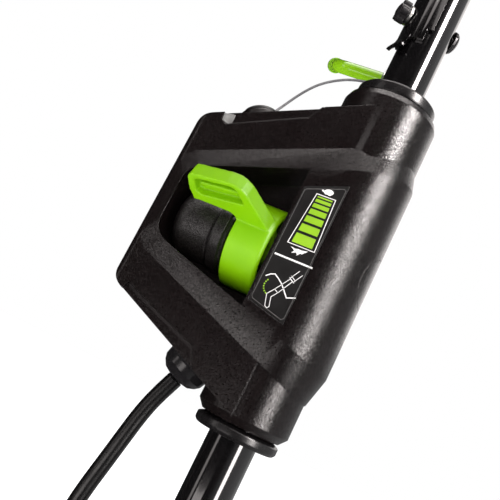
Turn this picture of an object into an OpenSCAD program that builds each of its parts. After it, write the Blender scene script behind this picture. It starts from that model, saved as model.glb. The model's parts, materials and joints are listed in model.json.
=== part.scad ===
// Handle-mounted speed control of a self-propelled walk-behind garden machine.
// A clamshell housing grips the handle tube. It carries a green thumb lever, a start button,
// a green drive bail behind the tube, and a power lead that ends in a plug.
// Z runs up the tube, the face with the lever looks along -Y and the wing points along -X.
// The origin is the centre of the handle tube's lower end.

/* [Handle tubes] */
// Outside diameter of both handle tubes
tube_d = 25.4; // [24:0.1:28]
// Wall thickness of the handle tubes
tube_wall = 1.5; // [1:0.1:2]
// Height of the lower tube
tube_h = 595; // [580:1:610]
// Height of the housing's lower rim above the tube's end
housing_z = 320; // [310:1:340]
// Height of the folding joint's bolt above the housing's lower rim
joint_h = 246; // [240:1:256]
// Angle of the folding joint's bolt about the tube, from +X
joint_angle = 28; // [0:1:45]

/* [Housing] */
// Radius of the lower neck
neck_low_r = 24.4; // [23:0.1:25]
// Radius of the upper neck
neck_top_r = 26.3; // [25:0.1:27]
// Radius of the raised middle of the sleeve
sleeve_r = 29; // [28:0.1:30]
// Reach of the wing from the tube's axis
wing_reach = 89.5; // [88:0.5:92]
// Rear face of the wing, behind the tube's axis
wing_back = 22; // [21:0.5:24]
// Wall thickness of both shells
wall = 2.5; // [2:0.1:2.8]
// Radius of the collar rings at both ends
collar_r = 22.3; // [20:0.1:23]
// Depth of the lever's pocket behind the raised face
pocket_depth = 24; // [20:0.5:25]

/* [Speed lever] */
// Distance of the lever's axis in front of the tube's axis
lever_front = 6; // [4:0.5:8]
// Height of the lever's axis above the housing's lower rim
lever_h = 90; // [86:1:94]
// Radius of the lever's drum
drum_r = 24; // [22:0.5:24.5]
// Distance of the paddle's outer edge from the lever's axis
paddle_reach = 47.2; // [46:0.2:49]
// Angle of the paddle above the forward direction
paddle_angle = 23; // [10:1:35]
// Thickness of the paddle
paddle_t = 8; // [6:0.5:9]

/* [Start button] */
// Radius of the button's cap
button_r = 9.5; // [8:0.5:10]
// Height of the button's top above the housing
button_top = 12.1; // [11.5:0.1:15]
// Travel of the button
button_travel = 3; // [2:0.5:3.5]

/* [Drive bail] */
// Diameter of the bail's rod
bail_d = 8.6; // [7:0.1:9]
// Distance of the bail's pivot behind the tube's axis
bail_back = 40; // [36:0.5:42]
// Height of the bail's pivot above the housing's lower rim
bail_h = 230; // [222:1:234]
// Reach of the bail's rod from the tube's axis
bail_reach = 56; // [52:1:60]

/* [Power lead] */
// Diameter of the lead
lead_d = 9; // [8:0.5:9]
// Radius of the coil, at the middle of its turns
coil_r = 46; // [46:1:50]
// Number of turns in the coil
coil_turns = 2; // [2:1:2]

/* [Hidden] */
$fn = 96;

black = [0.08, 0.08, 0.085];
dark = [0.13, 0.13, 0.14];
green = [0.45, 0.8, 0.05];
steel = [0.65, 0.66, 0.68];
copper = [0.75, 0.5, 0.25];
board_green = [0.08, 0.35, 0.18];

tube_r = tube_d / 2;
fit = 0.05;
seam = 0.1;
gap = 0.3;
smooth = 32;
swage = 0.5;
swage_low = 60;
swage_top = 38;
face_y = 26;
raised_y = sleeve_r;
back_raise = 2;
neck_low_h = 6;
neck_top_h = 191;
sleeve_mid_h = 100;
far = 120;

// The wing's outlines are given by a sloping top line, a sloping bottom line, a left edge and a
// corner radius: [top height at the axis, top slope, bottom height at the axis, bottom slope,
// left edge, corner radius].
wing_line = [181.3, 0.439, 9.3, -0.387, -wing_reach, 13];
outer_line = [155, 0.41, 36.8, -0.331, -86, 13];
inner_line = [140.6, 0.363, 52.2, -0.268, -78.5, 12];

platform_x = -18.5;
pocket_y = -raised_y + pocket_depth;
lever_y = -lever_front;
drum_x0 = -41;
recess_depth = 4.4;
step_depth = 2;
edge_r = 5;
cover_fillet = 9;
drum_x1 = -21;
cover_x0 = -76;
cover_x1 = -43;
cover_r = 19.5;
cover_band_r = 21;
shaft_r = 3;
shaft_x0 = -62;
shaft_x1 = -15.2;
pot_x = -56;
pot_r = 8.5;

top_tilt = atan(wing_line[1]);
low_tilt = atan(wing_line[3]);
button_x = -62;
button_y = -6;
button_h = wing_line[0] + wing_line[1] * button_x;
gland_x = -37;
gland_h = wing_line[2] + wing_line[3] * gland_x;

bail_bend = 12;
arm_turn = 19;
arm_rise = 28;
arm_len = 46;
bail_screw_dz = [-9, 5];

// screw places in the wing, [x, height]
screws = [[-81, 128], [-80, 58], [-36, 152], [-59, 45], [-24, 40]];
rib_heights = [12, 44, 146, 182];
side_cap_r = 14;
side_cap_h = 97;

coil_x = -tube_r - 1.3 - lead_d / 2 - coil_r;
coil_h = -160;
strand_x = coil_x + coil_r;
strand_y = lead_d;

// centre line of the free lead, from the gland to the coil, in housing heights
lead_route = [
  [-41.3, 0, 11.4], [-44.6, 0, 3], [-47.4, 0, -5], [-49.7, 0, -14], [-51.6, 0, -24],
  [-53.4, 0, -34], [-55.2, 0, -44], [-57, 0, -54], [-58.4, 0, -64], [-59.3, 0, -76],
  [-58.5, 0, -85], [-56.1, -0.5, -94], [-52.1, -1.5, -103], [-46.8, -3, -110],
  [-39, -4.8, -118], [-31, -6.4, -126], [-25.7, -7.6, -133], [-21.7, -8.4, -142],
  [-19.2, -8.9, -151], [-18.5, -9, -160]
];
tail_route = [
  [-18.5, 9, -160], [-18.7, 9, -166], [-19.4, 9, -173], [-20.3, 9, -180], [-21, 9, -187],
  [-21, 9, -194]
];
// centre line of the bail switch's thin lead
sensor_route = [
  [-17.6, 26, 217.5], [-23, 27.4, 218.8], [-29, 28.8, 219.2], [-35, 29.6, 218.6], [-41, 30, 217],
  [-47, 30, 214], [-52, 30, 210.7], [-56.5, 30, 206.8], [-60.5, 30, 202], [-64, 29.6, 196.5],
  [-67, 28.8, 190.5], [-69.6, 27.2, 184], [-71.8, 24.6, 177.5], [-73.4, 21.4, 171.5],
  [-74.3, 18.4, 166.5], [-74.3, 16.3, 162.3], [-73.5, 15.6, 159.1], [-72.2, 15.6, 156.2],
  [-70.6, 15.6, 152.5]
];
sensor_d = 1.6;

// ---- shared shapes -------------------------------------------------------------------------

// lifts the housing's own parts to their place on the tube
module on_tube() {
  translate([0, 0, housing_z]) children();
}

module x_bar(r, x0, x1) {
  translate([x0, 0, 0]) rotate([0, 90, 0]) cylinder(r = r, h = x1 - x0);
}

module y_bar(r, y0, y1) {
  translate([0, y0, 0]) rotate([-90, 0, 0]) cylinder(r = r, h = y1 - y0);
}

module ring(r_out, r_in, h) {
  difference() {
    cylinder(r = r_out, h = h);
    translate([0, 0, -1]) cylinder(r = r_in, h = h + 2);
  }
}

// turns about the lever's axis, from straight ahead
module at_lever() {
  on_tube() translate([0, lever_y, lever_h]) children();
}

// +Z stands out of the wing's sloping top
module on_top() {
  on_tube() translate([button_x, button_y, button_h]) rotate([0, -top_tilt, 0]) children();
}

// +Z stands out of the wing's sloping bottom
module on_bottom() {
  on_tube() translate([gland_x, 0, gland_h]) rotate([0, 180 - low_tilt, 0]) children();
}

// +X is the joint bolt's direction
module at_joint() {
  on_tube() translate([0, 0, joint_h]) rotate([0, 0, joint_angle]) children();
}

// directions along a route and the tube swept round it
function unit(v) = v / norm(v);
function heading(r, i) = unit(r[min(i + 1, len(r) - 1)] - r[max(i - 1, 0)]);
function ring_at(r, i, rad, n, across) =
  let (t = heading(r, i), a = unit(cross(t, across)), b = cross(t, a))
  [for (k = [0 : n - 1]) r[i] + rad * (cos(360 * k / n) * a + sin(360 * k / n) * b)];

module swept_tube(r, d, n, across = [0.1, 1, 0]) {
  m = len(r);
  points = [for (i = [0 : m - 1]) each ring_at(r, i, d / 2, n, across)];
  sides = [
    for (i = [0 : m - 2])
      for (k = [0 : n - 1])
        [i * n + k, i * n + (k + 1) % n, (i + 1) * n + (k + 1) % n, (i + 1) * n + k]
  ];
  first = [for (k = [0 : n - 1]) n - 1 - k];
  last = [for (k = [0 : n - 1]) (m - 1) * n + k];
  on_tube() polyhedron(points, concat([first], sides, [last]));
}

// ---- housing -------------------------------------------------------------------------------

// one of the sloping outlines, seen from the front, drawn inward by an inset
module outline(line, inset) {
  top = line[0] - inset * sqrt(1 + line[1] * line[1]);
  low = line[2] + inset * sqrt(1 + line[3] * line[3]);
  left = line[4] + inset;
  r = max(line[5] - inset, 2);
  cx = left + r;
  top_a = atan(line[1]);
  low_a = atan(line[3]);
  top_c = top + line[1] * cx - r / cos(top_a);
  low_c = low + line[3] * cx + r / cos(low_a);
  right = sleeve_r + 8;
  polygon([
    [right, top + line[1] * right], [cx - r * sin(top_a), top_c + r * cos(top_a)],
    [left, top_c], [left, low_c], [cx + r * sin(low_a), low_c - r * cos(low_a)],
    [right, low + line[3] * right]
  ]);
  translate([cx, top_c]) circle(r = r, $fn = smooth * 2);
  translate([cx, low_c]) circle(r = r, $fn = smooth * 2);
}

module front_prism(line, inset, y0, y1) {
  translate([0, y1, 0]) rotate([90, 0, 0]) linear_extrude(y1 - y0) outline(line, inset);
}

// plan of the wing with rounded corners, for a given front and back
module wing_plan(front, back, inset) {
  left = -wing_reach + inset;
  r = edge_r - inset;
  polygon([
    [left, -front + r], [left + r, -front], [0, -front], [0, back],
    [left + r, back], [left, back - r]
  ]);
  translate([left + r, -front + r]) circle(r = r, $fn = smooth);
  translate([left + r, back - r]) circle(r = r, $fn = smooth);
}

module sleeve(inset) {
  rotate_extrude() polygon([
    [0, neck_low_h + inset], [neck_low_r - 3.4 - inset, neck_low_h + inset],
    [neck_low_r - inset, neck_low_h + 4], [neck_low_r - inset, sleeve_mid_h],
    [neck_top_r - inset, sleeve_mid_h + 2], [neck_top_r - inset, neck_top_h - 4.5],
    [neck_top_r - 1.2 - inset, neck_top_h - 1.4 - inset / 2],
    [neck_top_r - 3.6 - inset, neck_top_h - inset], [0, neck_top_h - inset]
  ]);
}

// a slice of the raised middle: a round sleeve and a flat wing inside one outline
module raised_slice(line, r, front, back, inset) {
  intersection() {
    union() {
      cylinder(r = r - inset, h = 200, $fn = smooth * 2);
      linear_extrude(200) wing_plan(front - inset, back - inset, inset);
    }
    front_prism(line, inset, -far, far);
  }
}

module raised_body(inset) {
  hull() {
    raised_slice(outer_line, neck_low_r + 0.6, face_y, wing_back, inset);
    raised_slice(inner_line, sleeve_r, raised_y, wing_back + back_raise, inset);
  }
}

module body(inset) {
  sleeve(inset);
  intersection() {
    linear_extrude(200) wing_plan(face_y - inset, wing_back - inset, inset);
    front_prism(wing_line, inset, -far, far);
  }
  raised_body(inset);
}

// the lever's pocket, widened or narrowed by an inset
module pocket_space(inset, floor_y) {
  intersection() {
    front_prism(inner_line, inset, -far, floor_y);
    translate([-far, -far, 0]) cube([far + platform_x - inset, 2 * far, 200]);
  }
}

// rings that hold the tube, and the boss of the clamp screw
module tube_ribs() {
  intersection() {
    union() {
      for (h = rib_heights)
        translate([0, 0, h]) cylinder(r = sleeve_r - 1, h = 3);
      translate([0, 0, side_cap_h]) x_bar(6.5, 0, 18);
      translate([0, 0, side_cap_h - 1]) intersection() {
        cylinder(r = sleeve_r - 1, h = 2);
        translate([0, -far, 0]) cube([far, 2 * far, 2]);
      }
    }
    body(1);
  }
}

module front_half() {
  translate([-far, -far, -far]) cube([2 * far, far - seam, 4 * far]);
}

module rear_half() {
  translate([-far, seam, -far]) cube([2 * far, far, 4 * far]);
}

module shared_holes() {
  translate([0, 0, -far]) cylinder(r = tube_r + fit, h = 4 * far);
  translate([0, 0, side_cap_h]) x_bar(side_cap_r + 0.2, 18, 40);
  translate([0, 0, side_cap_h]) x_bar(3.2, 10, 24);
}

// steps let into the face along the wing's top and bottom edges, from a given depth forward
module edge_steps(depth) {
  translate([0, -face_y + depth, 0]) rotate([90, 0, 0]) linear_extrude(depth + 1) {
    polygon([[-78, 160], [-75.4, 143.2], [-72, 141.4], [-32.4, 160.6], [-26.8, 170], [-40, 180]]);
    polygon([[-84, 30], [-78.4, 44.6], [-70, 41.4], [-32, 29.4], [-27.6, 20.6], [-34, 6]]);
  }
}

module front_shell() {
  color(black) on_tube() difference() {
    union() {
      intersection() {
        union() {
          difference() {
            body(0);
            body(wall);
          }
          tube_ribs();
        }
        front_half();
      }
      // thicker wall behind the stepped edges
      intersection() {
        edge_steps(step_depth + wall);
        body(0.8);
        front_half();
      }
      // tub of the pocket
      intersection() {
        difference() {
          pocket_space(-2, pocket_y + 2);
          pocket_space(0, pocket_y);
        }
        body(0.6);
      }
      for (s = screws)
        translate([s[0], 0, s[1]]) y_bar(4, -face_y + 1, -seam);
      // bearing block for the lever's shaft
      intersection() {
        translate([0, lever_y, lever_h]) x_bar(6.5, platform_x - 0.6, -13.9);
        front_half();
      }
    }
    pocket_space(0, pocket_y);
    // slot for the drum
    translate([drum_x0 - 0.8, -far, lever_h - drum_r - 1])
      cube([drum_x1 - drum_x0 + 1.6, far + 20, 2 * drum_r + 2]);
    translate([0, lever_y, lever_h]) x_bar(4.6 + fit, -25, -12);
    // way for the shaft and the potentiometer under the cover
    translate([cover_x0 + 6, -far, lever_h - 10]) cube([cover_x1 - cover_x0 - 4, far + 20, 20]);
    for (s = screws)
      translate([s[0], 0, s[1]]) y_bar(1.6, -face_y + 4, 1);
    shared_holes();
    edge_steps(step_depth);
    // seat of the label
    translate([0, -raised_y + 0.7, 0]) rotate([90, 0, 0]) linear_extrude(5) label_outline(0);
    button_hole();
    gland_hole();
  }
}

module button_hole() {
  translate([button_x, button_y, button_h]) rotate([0, -top_tilt, 0])
    translate([0, 0, -10]) cylinder(r = 7.2, h = 20);
}

module gland_hole() {
  translate([gland_x, 0, gland_h]) rotate([0, 180 - low_tilt, 0])
    translate([0, 0, -9]) cylinder(r = 8.1, h = 20);
}

// +Z stands out of the wing's sloping top, behind the button
module at_grommet() {
  translate([-69.8, 15.6, 150.7]) rotate([0, -top_tilt, 0]) children();
}

module rear_shell() {
  color(black) on_tube() difference() {
    union() {
      intersection() {
        union() {
          difference() {
            body(0);
            body(wall);
          }
          tube_ribs();
        }
        rear_half();
      }
      intersection() {
        for (s = screws)
          translate([s[0], 0, s[1]]) y_bar(4.5, seam, 30);
        body(0.5);
      }
    }
    for (s = screws)
      translate([s[0], 0, s[1]]) {
        y_bar(2.2, -1, 40);
        y_bar(3.9, 12, 40);
      }
    shared_holes();
    button_hole();
    gland_hole();
    // way of the sensor lead's grommet
    at_grommet() translate([0, 0, -8]) cylinder(r = 2.6, h = 20);
    // seat of the detent spring
    translate([-31, 0, lever_h]) y_bar(2.2, 17, 23.2);
  }
}

module top_collar() {
  color(dark) on_tube() translate([0, 0, neck_top_h + 0.4]) difference() {
    rotate_extrude() polygon([
      [10, 0], [collar_r - 0.8, 0], [collar_r, 0.8], [collar_r, 5.6], [collar_r - 1.6, 7], [10, 7]
    ]);
    translate([0, 0, -1]) cylinder(r = tube_r + fit, h = 10);
  }
}

module bottom_collar() {
  color(dark) on_tube() translate([0, 0, -1]) difference() {
    rotate_extrude() polygon([
      [10, 0], [collar_r - 1.8, 0], [collar_r - 0.2, 1.5], [collar_r - 0.2, 5], [collar_r - 3.4, 6.6],
      [10, 6.6]
    ]);
    translate([0, 0, -1]) cylinder(r = tube_r + fit, h = 10);
  }
}

module label_outline(inset) {
  left = -17 + inset;
  right = 3.8 - inset;
  polygon([
    [left, 61.6 + inset * 1.3], [right, 57.2 + inset * 1.3], [right, 132.8 - inset * 1.4],
    [left, 124.6 - inset * 1.4]
  ]);
}

module label_plate() {
  color(dark) on_tube() translate([0, -raised_y + 0.6, 0]) rotate([90, 0, 0])
    linear_extrude(0.6) label_outline(0.15);
}

module hub_cover() {
  color(dark) difference() {
    intersection() {
      at_lever() difference() {
        translate([cover_x0, 0, 0]) rotate([0, 90, 0]) rotate_extrude() {
          square([cover_r - cover_fillet, cover_x1 - cover_x0]);
          translate([0, cover_fillet]) square([cover_r, cover_x1 - cover_x0 - cover_fillet]);
          translate([cover_r - cover_fillet, cover_fillet]) circle(r = cover_fillet);
          translate([cover_r - 1, -51 - cover_x0]) square([cover_band_r - cover_r + 1, 6]);
        }
        // groove beside the raised band
        translate([-52.4, 0, 0]) rotate([0, 90, 0]) ring(cover_r + 2, cover_r - 1, 1.4);
      }
      on_tube() pocket_space(gap, pocket_y - 0.1);
    }
    at_lever() {
      x_bar(15, cover_x0 + 5, cover_x1 - 3);
      x_bar(shaft_r + 1, cover_x1 - 5, cover_x1 + 1);
    }
  }
}

module side_cap() {
  color(black) on_tube() intersection() {
    difference() {
      cylinder(r = sleeve_r, h = 200);
      translate([0, 0, -1]) cylinder(r = sleeve_r - 2.2, h = 202);
    }
    translate([0, 0, side_cap_h]) x_bar(side_cap_r, 5, 40);
  }
}

module clamp_screw() {
  color(steel) on_tube() translate([0, 0, side_cap_h]) difference() {
    union() {
      x_bar(2.95, 4, 18.2);
      x_bar(5.4, 18.1, 21.5);
    }
    translate([20, 0, 0]) rotate([0, 90, 0]) cylinder(r = 2.9, h = 3, $fn = 6);
  }
}

module shell_screws() {
  color(steel) on_tube() for (s = screws)
    translate([s[0], 0, s[1]]) {
      y_bar(1.55, -14, 12.6);
      difference() {
        y_bar(3.4, 12.1, 14.6);
        y_bar(1.4, 13.4, 15);
      }
    }
}

// ---- handle tubes and the folding joint ------------------------------------------------------

module joint_hole(r) {
  translate([0, 0, housing_z + joint_h]) rotate([0, 0, joint_angle]) x_bar(r, -40, 40);
}

module handle_tube() {
  color(black) difference() {
    union() {
      translate([0, 0, swage_low + 1]) cylinder(r = tube_r, h = tube_h - swage_low - 1);
      // narrowed end that goes into the machine's bracket
      cylinder(r = tube_r - swage, h = swage_low + 2);
      translate([0, 0, swage_low]) cylinder(r1 = tube_r - swage, r2 = tube_r, h = 1);
    }
    translate([0, 0, -1]) cylinder(r = tube_r - tube_wall, h = tube_h + 2);
    joint_hole(3.1);
    translate([0, 0, 25]) x_bar(3.3, -20, 20);
    translate([0, 0, housing_z + side_cap_h]) x_bar(3.05, 5, 20);
    for (dz = bail_screw_dz)
      translate([0, 0, housing_z + bail_h - 4 + dz]) y_bar(1.7, 5, 20);
  }
}

module lower_plug() {
  color(dark) difference() {
    union() {
      cylinder(r = tube_r - tube_wall, h = 14);
      translate([0, 0, -2.5]) rotate_extrude() polygon([
        [0, 0], [tube_r - 2, 0], [tube_r - swage - 0.3, 1.2], [tube_r - swage - 0.3, 2.5], [0, 2.5]
      ]);
    }
    translate([0, 0, 3]) cylinder(r = 8.5, h = 12);
  }
}

module inner_plug() {
  color(dark) translate([0, 0, tube_h - 12]) cylinder(r = tube_r - tube_wall, h = 12);
}

// the upper handle's end: a curved saddle that nests on the lower tube and opens into a tube
module upper_tube() {
  saddle_in = tube_r + gap;
  saddle_out = saddle_in + 2;
  low = housing_z + 237;
  shift = tube_r + 3.4;
  turn = 180 + joint_angle;
  top = housing_z + 345;
  mid = housing_z + 300;
  drop = 7;
  color(black) difference() {
    union() {
      translate([0, 0, low]) rotate([0, 0, turn - 78]) rotate_extrude(angle = 156)
        polygon([[saddle_in - 1, 0], [saddle_out, 0], [saddle_out, 60], [saddle_in - 1, 60]]);
      // tongue below the saddle, clear of the bail's bracket
      translate([0, 0, low - drop]) rotate([0, 0, turn - 40]) rotate_extrude(angle = 106)
        polygon([
          [saddle_in - 1, 0], [saddle_out, 0], [saddle_out, drop + 1], [saddle_in - 1, drop + 1]
        ]);
      // turned-out lip at the saddle's lower left
      translate([0, 0, low - drop - 7]) rotate([0, 0, turn - 8]) rotate_extrude(angle = 44)
        polygon([
          [saddle_in + 3.2, 0], [saddle_out + 3.4, 0.3], [saddle_out + 0.8, 5], [saddle_out, 9],
          [saddle_in + 0.4, 9], [saddle_in + 0.6, 5]
        ]);
      hull() {
        translate([0, 0, low + 45]) rotate([0, 0, turn]) translate([6, 0, 0])
          cylinder(r = saddle_out - 3, h = 4, $fn = smooth);
        translate([0, 0, mid]) rotate([0, 0, turn]) translate([shift, 0, 0])
          cylinder(r = tube_r - 0.2, h = 3, $fn = smooth);
      }
      translate([0, 0, mid]) rotate([0, 0, turn]) translate([shift, 0, 0]) {
        cylinder(r = tube_r, h = top - mid - swage_top - 1);
        cylinder(r = tube_r - swage, h = top - mid);
        translate([0, 0, top - mid - swage_top - 1]) cylinder(r1 = tube_r, r2 = tube_r - swage, h = 1);
      }
    }
    translate([0, 0, mid + 6]) rotate([0, 0, turn]) translate([shift, 0, 0])
      cylinder(r = tube_r - tube_wall, h = top);
    cylinder(r = saddle_in, h = mid - 1);
    joint_hole(3.1);
  }
}

module upper_end_plug() {
  top = housing_z + 345;
  color(dark) rotate([0, 0, 180 + joint_angle]) translate([tube_r + 3.4, 0, top]) {
    translate([0, 0, -12]) cylinder(r = tube_r - tube_wall, h = 12);
    rotate_extrude() polygon([
      [0, 0], [tube_r - swage - 0.3, 0], [tube_r - swage - 0.3, 1.3], [tube_r - 2, 2.5], [0, 2.5]
    ]);
  }
}

module joint_bolt() {
  color(dark) at_joint() {
    x_bar(3, -tube_r - 8, tube_r + 1);
    translate([tube_r + 0.1, 0, 0]) rotate([0, 90, 0]) rotate_extrude() polygon([
      [0, 0], [6.6, 0], [6.5, 1.2], [5.6, 2.5], [4, 3.4], [2, 3.9], [0, 4]
    ]);
  }
}

module joint_washer() {
  color(steel) at_joint() translate([-tube_r - 3.9, 0, 0]) rotate([0, 90, 0]) difference() {
    cylinder(r = 5.6, h = 1.5);
    translate([0, 0, -1]) cylinder(r = 3.1, h = 4);
  }
}

module joint_knob() {
  lobes = 5;
  color(dark) at_joint() translate([-tube_r - 10.2, 0, 0]) rotate([0, 90, 0]) difference() {
    union() {
      rotate_extrude() polygon([[0, 0.4], [2.6, 0], [4.4, 0.7], [5, 2], [5, 6.2], [0, 6.2]]);
      for (k = [0 : lobes - 1])
        rotate([0, 0, k * 360 / lobes]) translate([4.6, 0, 1]) cylinder(r = 2.1, h = 4.6);
    }
    translate([0, 0, 2]) cylinder(r = 3.05, h = 12);
  }
}

// ---- power lead ------------------------------------------------------------------------------

module gland_body() {
  color(dark) on_bottom() difference() {
    union() {
      translate([0, 0, 0.05]) rotate_extrude() polygon([
        [4.55, 0], [14, 0], [14, 1.4], [13, 2.4], [12.6, 6.5], [11, 9], [8.4, 11.2], [4.55, 12.2]
      ]);
      translate([0, 0, -8.5]) ring(8, 5.4, 8.6);
    }
    translate([0, 0, -10]) cylinder(r = lead_d / 2 + fit, h = 30);
  }
}

module gland_nut() {
  color(dark) on_bottom() translate([0, 0, -7.6]) difference() {
    cylinder(r = 11, h = 4, $fn = 6);
    translate([0, 0, -1]) cylinder(r = 8, h = 6);
  }
}

module gland_seal() {
  color(black) on_bottom() translate([0, 0, -6]) ring(5.35, lead_d / 2 + fit, 5);
}

module power_lead() {
  color(black) swept_tube(lead_route, lead_d - 0.1, 12);
}

module lead_coil() {
  edge = 3.5;
  half = coil_turns * strand_y / 2 + lead_d / 2;
  thick = lead_d / 2 + 0.3;
  color(black) on_tube() translate([coil_x, 0, coil_h]) rotate([90, 0, 0]) rotate_extrude() polygon([
    [coil_r - thick, -half + edge], [coil_r - thick + edge, -half], [coil_r + thick - edge, -half],
    [coil_r + thick, -half + edge], [coil_r + thick, half - edge], [coil_r + thick - edge, half],
    [coil_r - thick + edge, half], [coil_r - thick, half - edge]
  ]);
}

module lead_tail() {
  color(black) swept_tube(tail_route, lead_d - 0.1, 12);
}

module at_plug() {
  end = tail_route[len(tail_route) - 1];
  on_tube() translate(end) children();
}

module lead_plug() {
  color(dark) at_plug() difference() {
    union() {
      translate([0, 0, -12]) rotate_extrude() polygon([
        [0, 0], [8, 0], [8, 2], [6, 6], [5.2, 12], [0, 12]
      ]);
      translate([0, 0, -32]) rotate_extrude() polygon([
        [0, 0], [7.6, 0], [8.2, 0.8], [8.2, 8], [7.4, 9], [7.4, 10], [8.2, 11], [8.2, 20.2], [0, 20.2]
      ]);
    }
    translate([0, 0, -33]) cylinder(r = 6.2, h = 9);
  }
}

module plug_pins() {
  color(copper) at_plug() for (a = [0 : 120 : 240])
    rotate([0, 0, a]) translate([3.2, 0, -30.5]) cylinder(r = 0.9, h = 8);
}

module strap_loop(grow) {
  hull() {
    circle(r = tube_r + 0.1 + grow, $fn = smooth * 2);
    for (s = [-1, 1])
      for (dx = [0, -0.7])
        translate([strand_x + dx, s * strand_y]) circle(r = lead_d / 2 + 0.5 + grow, $fn = smooth);
  }
}

module coil_strap() {
  wide = 14;
  color(black) on_tube() translate([0, 0, coil_h - wide / 2]) {
    linear_extrude(wide) difference() {
      strap_loop(1.3);
      strap_loop(0);
    }
    translate([tube_r + 0.4, -5, 2]) cube([2.6, 10, wide - 4]);
  }
}

// ---- speed lever -----------------------------------------------------------------------------

// outline of the paddle: x along the axis, y away from it
module paddle_outline() {
  polygon([
    [-66, 25.6], [-68.3, 32], [-68.6, paddle_reach - 6.7], [-66.6, paddle_reach - 3.8],
    [-46, paddle_reach], [-41.5, paddle_reach], [-38, paddle_reach - 1.4], [-35, paddle_reach - 4.2],
    [-32.2, 38.6], [-23.5, 24.5], [-22, 20], [-40, 16], [-40.6, 21.5], [-42.3, 24.8], [-45.3, 26.4]
  ]);
}

// turns a paddle sheet so that its far edge looks forward and up, and its front face down
module at_paddle() {
  rotate([180 - paddle_angle, 0, 0]) children();
}

module speed_lever() {
  color(green) at_lever() difference() {
    union() {
      x_bar(drum_r, drum_x0, drum_x1 - 1.5);
      translate([drum_x1 - 1.5, 0, 0]) rotate([0, 90, 0])
        cylinder(r1 = drum_r, r2 = drum_r - 1.5, h = 1.5);
      at_paddle() translate([0, 0, -paddle_t / 2]) linear_extrude(paddle_t) paddle_outline();
    }
    x_bar(shaft_r + fit, drum_x0 - 1, drum_x1 + 1);
    // hollow back of the drum
    difference() {
      x_bar(drum_r - 3, drum_x0 + 2.5, drum_x1 + 1);
      x_bar(7, drum_x0, drum_x1 + 1);
      at_paddle() translate([-60, 0, -2]) cube([80, 40, 4]);
    }
    // finger recess in the paddle's front face, with a rib along its middle
    at_paddle() translate([0, 0, paddle_t / 2 - recess_depth]) difference() {
      linear_extrude(recess_depth + 1)
        polygon([
          [-64.2, 32.2], [-64.6, 39.6], [-62.6, 41], [-44, 44.9], [-40.6, 43.6],
          [-36.9, 35.6], [-61.4, 30.6]
        ]);
      linear_extrude(recess_depth - 1.8)
        polygon([[-62.4, 35.6], [-62.4, 37.8], [-39, 41.4], [-38.2, 39.4]]);
    }
    // notches for the detent ball, on the back of the drum
    for (a = [-50 : 10 : 10])
      rotate([-a, 0, 0]) translate([-31, drum_r + 0.5, 0]) sphere(r = 1.6, $fn = 24);
  }
}

module lever_shaft() {
  color(steel) at_lever() x_bar(shaft_r, shaft_x0, shaft_x1);
}

module left_bush() {
  color(copper) at_lever() translate([cover_x1 - 3, 0, 0]) rotate([0, 90, 0])
    ring(shaft_r + 0.95, shaft_r + fit, 2.9);
}

module right_bush() {
  color(copper) at_lever() translate([platform_x - 0.6, 0, 0]) rotate([0, 90, 0])
    ring(4.6, shaft_r + fit, 4.4);
}

module pot_body() {
  color(steel) at_lever() translate([pot_x, 0, 0]) rotate([0, 90, 0]) difference() {
    union() {
      cylinder(r = pot_r, h = 8);
      cylinder(r = 4.6, h = 9.8);
    }
    translate([0, 0, 2]) cylinder(r = 6.4, h = 4);
    translate([0, 0, -1]) cylinder(r = shaft_r + fit, h = 14);
  }
}

module pot_rotor() {
  color(copper) at_lever() translate([pot_x + 2.6, 0, 0]) rotate([0, 90, 0]) difference() {
    cylinder(r = 5.6, h = 2.6);
    translate([0, 0, -1]) cylinder(r = shaft_r, h = 6);
  }
}

module detent_ball() {
  color(steel) at_lever() translate([-31, drum_r + 1.35, 0]) sphere(r = 1.2, $fn = 24);
}

// a closed coil spring drawn as stacked rings joined by a thin inner sleeve
module ring_spring(r, wire, h, n) {
  step = (h - 2 * wire) / (n - 1);
  for (k = [0 : n - 1])
    translate([0, 0, wire + k * step]) rotate_extrude() translate([r, 0]) circle(r = wire, $fn = 12);
  translate([0, 0, wire]) ring(r + wire / 3, r - wire / 3, h - 2 * wire);
}

module detent_spring() {
  color(steel) on_tube() translate([-31, lever_y + drum_r + 2.7, lever_h]) rotate([-90, 0, 0])
    ring_spring(1.5, 0.25, 2.3, 3);
}

// ---- start button ----------------------------------------------------------------------------

module button_cap() {
  dome = 15;
  shoulder = button_top - 3.2;
  color(dark) on_top() {
    intersection() {
      translate([0, 0, 7.5]) cylinder(r = button_r, h = 10);
      translate([0, 0, button_top - dome]) sphere(r = dome);
    }
    translate([0, 0, -6.3]) cylinder(r = 4, h = 6.3 + shoulder);
    translate([0, 0, -6.3]) cylinder(r = 5.6, h = 1.6);
  }
}

module button_collar() {
  color(black) on_top() difference() {
    union() {
      translate([0, 0, 0.05]) rotate_extrude() polygon([
        [0, 0], [13, 0], [13, 1.5], [12, 3], [11.6, 6], [10.6, 7], [0, 7]
      ]);
      translate([0, 0, -4.5]) cylinder(r = 7.1, h = 5);
    }
    translate([0, 0, 1.5]) cylinder(r = button_r + 0.3, h = 8);
    translate([0, 0, -6]) cylinder(r = 4.05, h = 12);
  }
}

module button_spring() {
  color(steel) on_top() translate([0, 0, 1.6]) ring_spring(6, 0.4, 5.6, 5);
}

module start_switch() {
  color(dark) on_top() {
    translate([-7, -3.2, -17.4]) cube([14, 6.4, 6.8]);
    translate([0, 0, -10.7]) cylinder(r = 1.2, h = 1.2);
    for (x = [-5, 0, 5])
      translate([x - 0.5, -0.25, -20.4]) cube([1, 0.5, 3.2]);
  }
}

// ---- electronics -----------------------------------------------------------------------------

module circuit_board() {
  color(board_green) on_tube() difference() {
    translate([-84, 9, 66]) cube([38, 1.6, 50]);
    for (p = [[-81, 70], [-50, 112]])
      translate([p[0], 0, p[1]]) y_bar(1.6, 8, 12);
  }
}

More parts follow.
